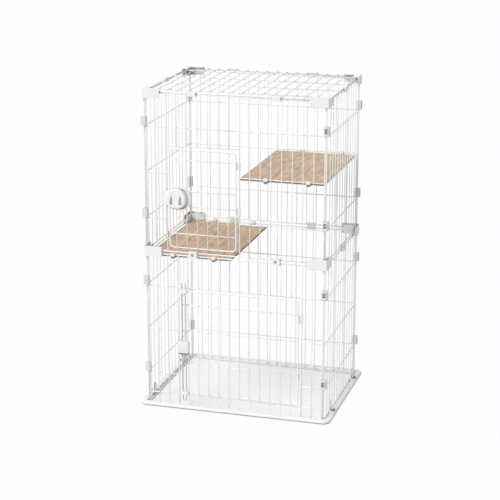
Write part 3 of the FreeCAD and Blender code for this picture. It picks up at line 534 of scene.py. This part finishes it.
def wire_piece(name, group, beads):
    """Rods and beads run through the node tree, as a plain mesh."""
    source = bpy.data.objects.new(name + "_lines", line_mesh(name + "_lines", group, beads))
    bpy.context.scene.collection.objects.link(source)
    modifier = source.modifiers.new("wire", "NODES")
    modifier.node_group = wire_tree
    modifier[wire_inputs["sides"]] = WIRE_SIDES
    modifier[wire_inputs["rounds"]] = BEAD_ROUNDS
    modifier[wire_inputs["finish"]] = wire_finish
    return plain_copy(source, name)


for node in panels + ["upper_door_wires", "lower_door_wires"]:
    group = rods(node)
    piece = wire_piece("coated_" + node, group, weld_beads(group))
    keep(piece, body_of(node), [node])
    print(piece.name, len(group), "rods", len(piece.data.polygons), "faces")

# %% [markdown]
# ## Moulded pieces with soft edges
# A moulding never has a knife edge. Each plastic node is copied, its loose triangles are merged, its flat
# faces are joined, and a Bevel rounds the sharp edges by a fraction of a millimetre. That thin highlight
# along every edge is what makes a block look moulded. Under the hood of a shelf hook and in the notch of
# the bolt's handle the faces get a second finish, a dark grey that is painted shade.

# %% Soft-edged copies
BEVEL_ANGLE = math.radians(35)
BEVEL_SEGMENTS = 3
FLAT_ANGLE = math.radians(1)
NODE_MERGE = 0.002 * MM


def merged_mesh(node, name):
    """A CAD node's loose triangles, merged and with its flat faces joined."""
    mesh = bmesh.new()
    mesh.from_mesh(frame["nodes"][node].data)
    bmesh.ops.remove_doubles(mesh, verts=mesh.verts, dist=NODE_MERGE)
    bmesh.ops.dissolve_limit(mesh, angle_limit=FLAT_ANGLE, verts=mesh.verts, edges=mesh.edges)
    copy = bpy.data.meshes.new(name)
    mesh.to_mesh(copy)
    mesh.free()
    return copy


def soft_copy(node, name, width, finishes):
    """A copy of a CAD node with its sharp edges rounded by width metres."""
    mesh = merged_mesh(node, name + "_sharp")
    mesh.shade_smooth()
    mesh.set_sharp_from_angle(angle=SMOOTH_ANGLE)
    for finish in finishes:
        mesh.materials.append(finish)
    source = bpy.data.objects.new(name + "_sharp", mesh)
    bpy.context.scene.collection.objects.link(source)
    if width > 0:
        edge = source.modifiers.new("soft edge", "BEVEL")
        edge.width = width
        edge.segments = BEVEL_SEGMENTS
        edge.limit_method = "ANGLE"
        edge.angle_limit = BEVEL_ANGLE
        edge.harden_normals = True
    return plain_copy(source, name)


# Edge rounding of each kind of moulded piece, in millimetres.
EDGE_WIDTHS = {
    "top_block": 1.0, "tier_block": 1.0, "edge_clips": 0.7, "tier_joint_clips": 0.9,
    "roof_joint_clips": 0.9, "lower_shelf_hooks": 0.7, "upper_shelf_hooks": 0.7, "tray_hooks": 0.8,
    "tray_pegs": 0.4, "latch_body": 0.5, "latch_slider": 0.6, "latch_keeper": 0.8, "bolt_handle": 0.6,
}

OWN_FINISH = {
    "latch_body": (latch_finish, "white_plastic"), "latch_slider": (latch_finish, "white_plastic"),
    "edge_clips": (clip_finish, "white_plastic"), "tray_pegs": (peg_finish, "grey_plastic"),
}
# How far below the top the painted shade starts, and how far behind the front it ends, in millimetres.
HOOK_PAINTED_SHADE, HANDLE_PAINTED_SHADE = (8.0, 11.0), (40.5, 17.0)
PAINTED_SHADE_PLACES = {
    "lower_shelf_hooks": HOOK_PAINTED_SHADE, "upper_shelf_hooks": HOOK_PAINTED_SHADE, "bolt_handle": HANDLE_PAINTED_SHADE,
}
FRONT_EASE = 1.0


def paint_recess_shade(piece, drop, back):
    """Paints shade on faces lower than drop and set back from the front, by up to back: they get the
    second finish.
    """
    top = max(v.co.z for v in piece.data.vertices)
    front = max(abs(v.co.y) for v in piece.data.vertices)
    for face in piece.data.polygons:
        low = face.center.z < top - drop * MM
        under = front - back * MM < abs(face.center.y) < front - FRONT_EASE * MM
        face.material_index = 1 if low and under else 0


for node in list(frame["nodes"]):
    kind = next((key for key in EDGE_WIDTHS if node.startswith(key)), None)
    if kind is None:
        continue
    finish, slot = OWN_FINISH.get(kind, (block_finish, "white_plastic"))
    finishes = [finish, painted_shade_finish] if kind in PAINTED_SHADE_PLACES else [finish]
    piece = soft_copy(node, "moulded_" + node, EDGE_WIDTHS[kind] * MM, finishes)
    if kind in PAINTED_SHADE_PLACES:
        paint_recess_shade(piece, *PAINTED_SHADE_PLACES[kind])
    keep(piece, body_of(node), [node])
    print(piece.name, len(piece.data.polygons), "faces")

# %% [markdown]
# ## Bent rods and small metal
# The door frames, the hinge sleeves and the guide blocks are steel under the same white coating, and the
# hairpin bolt has a grey one. Their CAD shape is right, so they only need their edges eased and a finish.

# %% Coated metal
METAL_EDGES = {
    "upper_door_frame": 0.0, "lower_door_frame": 0.0, "bolt_hairpin": 0.5,
    "upper_door_hinges": 0.4, "lower_door_hinges": 0.4, "hinge_collars": 0.4, "bolt_guides": 0.6,
}

for node, width in METAL_EDGES.items():
    finish, slot = (bolt_finish, "bolt_wire") if node == "bolt_hairpin" else (wire_finish, "coated_wire")
    piece = soft_copy(node, "coated_" + node, width * MM, [finish])
    keep(piece, body_of(node), [node])
    print(piece.name, len(piece.data.polygons), "faces")

# %% [markdown]
# ## Tray and shelves
# The tray keeps its CAD form, with its last sharp edges softened, and has a finish each for the rim's
# outside, the rim's top, the inner wall and the pan. The pan and the inner wall are painted lighter than
# the rim, standing in for light that the shelves and wires keep off them. The shelves have one for the
# broad faces, one for the front and back edges and one for the sides. Which way a face points decides its
# finish.

# %% Tray and shelf pieces
FACE_UP = 0.7
BOARD_FLAT = 0.98
PAN_TOP = 4 * MM
TRAY_EDGE, SHELF_EDGE = 0.8 * MM, 1.0 * MM
TRAY_RIM, TRAY_PAN, TRAY_RIM_TOP, TRAY_WALL = range(4)
BOARD_FACE, BOARD_FRONT, BOARD_SIDE = range(3)


def tray_part(face):
    """Which part of the tray a face belongs to."""
    upward = face.normal.z > FACE_UP
    if upward:
        return TRAY_PAN if face.center.z < PAN_TOP else TRAY_RIM_TOP
    inward = face.normal.x * face.center.x + face.normal.y * face.center.y < 0
    return TRAY_WALL if inward and abs(face.normal.z) < FACE_UP else TRAY_RIM


def board_part(face):
    """Which part of a shelf a face belongs to."""
    if abs(face.normal.z) > BOARD_FLAT:
        return BOARD_FACE
    return BOARD_SIDE if abs(face.normal.x) > abs(face.normal.y) else BOARD_FRONT


tray_finishes = [rim_finish, pan_finish, rim_top_finish, wall_finish]
tray = soft_copy("base_tray", "moulded_base_tray", TRAY_EDGE, tray_finishes)
for face in tray.data.polygons:
    face.material_index = tray_part(face)
keep(tray, body_of("base_tray"), ["base_tray"])

for node in ("lower_shelf", "upper_shelf"):
    piece = soft_copy(node, "wooden_" + node, SHELF_EDGE, [face_finish, front_finish, side_finish])
    for face in piece.data.polygons:
        face.material_index = board_part(face)
    keep(piece, body_of(node), [node])
    print(piece.name, len(piece.data.polygons), "faces")

# %% [markdown]
# ## Studio
# A white product picture wants a floor that is nearly white and light that is soft but has a side. The
# floor is part lit surface and part glow towards the camera, so it stays white and still takes the cage's
# shadow. One large lamp stands up on the left in front, and a white world fills in the rest.

# %% Floor and light
FLOOR_SIZE = 80.0
FLOOR_GLOW = 0.96
FLOOR_WHITE = (0.65, 0.65, 0.65, 1)
WORLD_FILL = 0.60
KEY_FROM = Vector((-0.50, -0.58, 0.65))
KEY_SPREAD = math.radians(50)
KEY_POWER = 2.3
KEY_DISTANCE = 6.0


def studio_floor():
    """A floor that glows white to the camera and is a plain lit surface to everything else."""
    material = bpy.data.materials.new("studio_floor")
    material.use_nodes = True
    nodes, links = material.node_tree.nodes, material.node_tree.links
    nodes.clear()
    lit, glow = nodes.new("ShaderNodeBsdfDiffuse"), nodes.new("ShaderNodeEmission")
    lit.inputs["Color"].default_value = FLOOR_WHITE
    glow.inputs["Strength"].default_value = 1.0
    path, share = nodes.new("ShaderNodeLightPath"), nodes.new("ShaderNodeMath")
    share.operation = "MULTIPLY"
    share.inputs[1].default_value = FLOOR_GLOW
    mix, out = nodes.new("ShaderNodeMixShader"), nodes.new("ShaderNodeOutputMaterial")
    links.new(path.outputs["Is Camera Ray"], share.inputs[0])
    links.new(share.outputs[0], mix.inputs["Fac"])
    links.new(lit.outputs[0], mix.inputs[1])
    links.new(glow.outputs[0], mix.inputs[2])
    links.new(mix.outputs[0], out.inputs["Surface"])
    mesh = bpy.data.meshes.new("studio_floor")
    half = FLOOR_SIZE / 2
    corners = [(-half, -half, 0), (half, -half, 0), (half, half, 0), (-half, half, 0)]
    mesh.from_pydata(corners, [], [(0, 1, 2, 3)])
    mesh.materials.append(material)
    floor = bpy.data.objects.new("studio_floor", mesh)
    bpy.context.scene.collection.objects.link(floor)


def white_world():
    """A world that fills the shadows and is full white where it is seen or mirrored."""
    world = bpy.data.worlds.new("white_world")
    bpy.context.scene.world = world
    world.use_nodes = True
    nodes, links = world.node_tree.nodes, world.node_tree.links
    background = nodes["Background"]
    background.inputs["Color"].default_value = (1, 1, 1, 1)
    path = nodes.new("ShaderNodeLightPath")
    seen = nodes.new("ShaderNodeMath")
    seen.operation = "MAXIMUM"
    links.new(path.outputs["Is Camera Ray"], seen.inputs[0])
    links.new(path.outputs["Is Glossy Ray"], seen.inputs[1])
    seen_all = nodes.new("ShaderNodeMath")
    seen_all.operation = "MAXIMUM"
    links.new(seen.outputs[0], seen_all.inputs[0])
    links.new(path.outputs["Is Transmission Ray"], seen_all.inputs[1])
    level = nodes.new("ShaderNodeMapRange")
    level.inputs["To Min"].default_value = WORLD_FILL
    level.inputs["To Max"].default_value = 1.0
    links.new(seen_all.outputs[0], level.inputs["Value"])
    links.new(level.outputs["Result"], background.inputs["Strength"])


def key_lamp():
    """The one large lamp."""
    light = bpy.data.lights.new("key_lamp", "SUN")
    light.angle = KEY_SPREAD
    light.energy = KEY_POWER
    lamp = bpy.data.objects.new("key_lamp", light)
    lamp.location = KEY_FROM * KEY_DISTANCE
    lamp.rotation_euler = (-KEY_FROM).to_track_quat("-Z", "Y").to_euler()
    bpy.context.scene.collection.objects.link(lamp)


studio_floor()
white_world()
key_lamp()
bpy.context.scene.view_settings.view_transform = "Standard"
print("studio ready")

# %% [markdown]
# ## Camera
# The camera's place was fitted to the wire grid, where every gap has the same width. It stands in front on
# the right, about six metres off, and looks down with a long lens.

# %% Camera
CAMERA_PLACE = (1.626, -5.584, 2.249)
CAMERA_TURN = 16.39
CAMERA_TILT = 16.105
LENS = 112.88
SENSOR_WIDTH = 36.0
SEES_TO = 200.0

lens = bpy.data.cameras.new("photo_camera")
lens.lens = LENS
lens.sensor_width = SENSOR_WIDTH
lens.clip_end = SEES_TO
camera = bpy.data.objects.new("photo_camera", lens)
camera.location = CAMERA_PLACE
camera.rotation_euler = (math.radians(90 - CAMERA_TILT), 0, math.radians(CAMERA_TURN))
bpy.context.scene.collection.objects.link(camera)
bpy.context.scene.camera = camera
print("camera at", CAMERA_PLACE)
